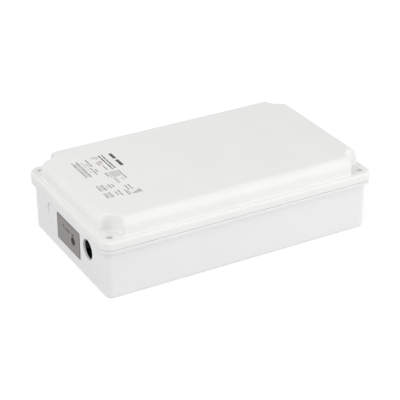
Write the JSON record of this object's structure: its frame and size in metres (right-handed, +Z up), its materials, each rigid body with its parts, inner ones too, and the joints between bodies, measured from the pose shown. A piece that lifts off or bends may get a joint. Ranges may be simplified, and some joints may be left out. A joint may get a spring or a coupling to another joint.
{
  "type": "led driver",
  "caption": "White sealed LED driver box with a screwed-on notched lid, a round cable entry, a sprung test button in a grey end label, and a circuit board and battery inside.",
  "frame": {"origin": "middle of the underside of the base", "axes": "+X along the box away from the cable end, +Y across it towards the back, +Z up through the lid"},
  "size_m": [0.22, 0.13, 0.059],
  "materials": {
    "base_plastic": "fine satin moulded ABS, cool white",
    "lid_plastic": "fine satin moulded ABS, slightly warm white",
    "seal_rubber": "soft foam cord",
    "screw_steel": "zinc plated",
    "label_film": "printed satin film, warm grey",
    "button_plastic": "black moulded plastic",
    "black_resin": "black moulded resin",
    "board_laminate": "green solder mask on glass laminate",
    "grey_insulation": "soft vinyl",
    "terminal_plastic": "green moulded nylon",
    "fuse_glass": "clear tube",
    "tinned_metal": "tinned, dull bright",
    "ferrite": "sintered, dark grey",
    "copper_wire": "enamelled copper",
    "yellow_resin": "yellow box capacitor",
    "capacitor_sleeve": "dark shrunk sleeve",
    "bobbin_plastic": "brown phenolic",
    "winding_tape": "yellow polyester tape",
    "heatsink_aluminium": "plain extrusion",
    "connector_plastic": "ivory nylon",
    "cell_can": "wrapped steel can",
    "battery_sleeve": "blue shrunk sleeve",
    "bracket_plastic": "white moulded plastic",
    "red_insulation": "soft vinyl",
    "black_insulation": "soft vinyl"
  },
  "bodies": {
    "housing": {"base": "base_plastic", "lid": "lid_plastic", "lid_gasket": "seal_rubber", "lid_screws": "screw_steel", "end_label": "label_film", "test_switch": "black_resin", "switch_board": "board_laminate", "switch_board_screws": "screw_steel", "switch_leads": "grey_insulation", "circuit_board": "board_laminate", "board_screws": "screw_steel", "mains_terminal": "terminal_plastic", "lamp_terminal": "terminal_plastic", "terminal_screws": "screw_steel", "fuse_tube": "fuse_glass", "fuse_caps": "tinned_metal", "fuse_clips": "tinned_metal", "choke_core": "ferrite", "choke_coils": "copper_wire", "film_capacitor": "yellow_resin", "bridge_rectifier": "black_resin", "bulk_capacitor": "capacitor_sleeve", "transformer_core": "ferrite", "transformer_bobbin": "bobbin_plastic", "transformer_winding": "winding_tape", "heatsink": "heatsink_aluminium", "power_transistor": "black_resin", "transistor_screw": "screw_steel", "output_capacitors": "capacitor_sleeve", "output_inductor": "ferrite", "control_chip": "black_resin", "battery_socket": "connector_plastic", "battery_cells": "cell_can", "battery_tabs": "tinned_metal", "battery_sleeve": "battery_sleeve", "battery_bracket": "bracket_plastic", "bracket_screws": "screw_steel", "battery_plug": "connector_plastic", "battery_lead_positive": "red_insulation", "battery_lead_negative": "black_insulation"},
    "test_button": {"test_button": "button_plastic"}
  },
  "joints": [
    {"name": "test_press", "type": "slide", "parent": "housing", "child": "test_button", "axis": [1, 0, 0], "range_m": [0, 0.0012], "stiffness_N_per_m": 900, "springref_m": -0.001}
  ]
}
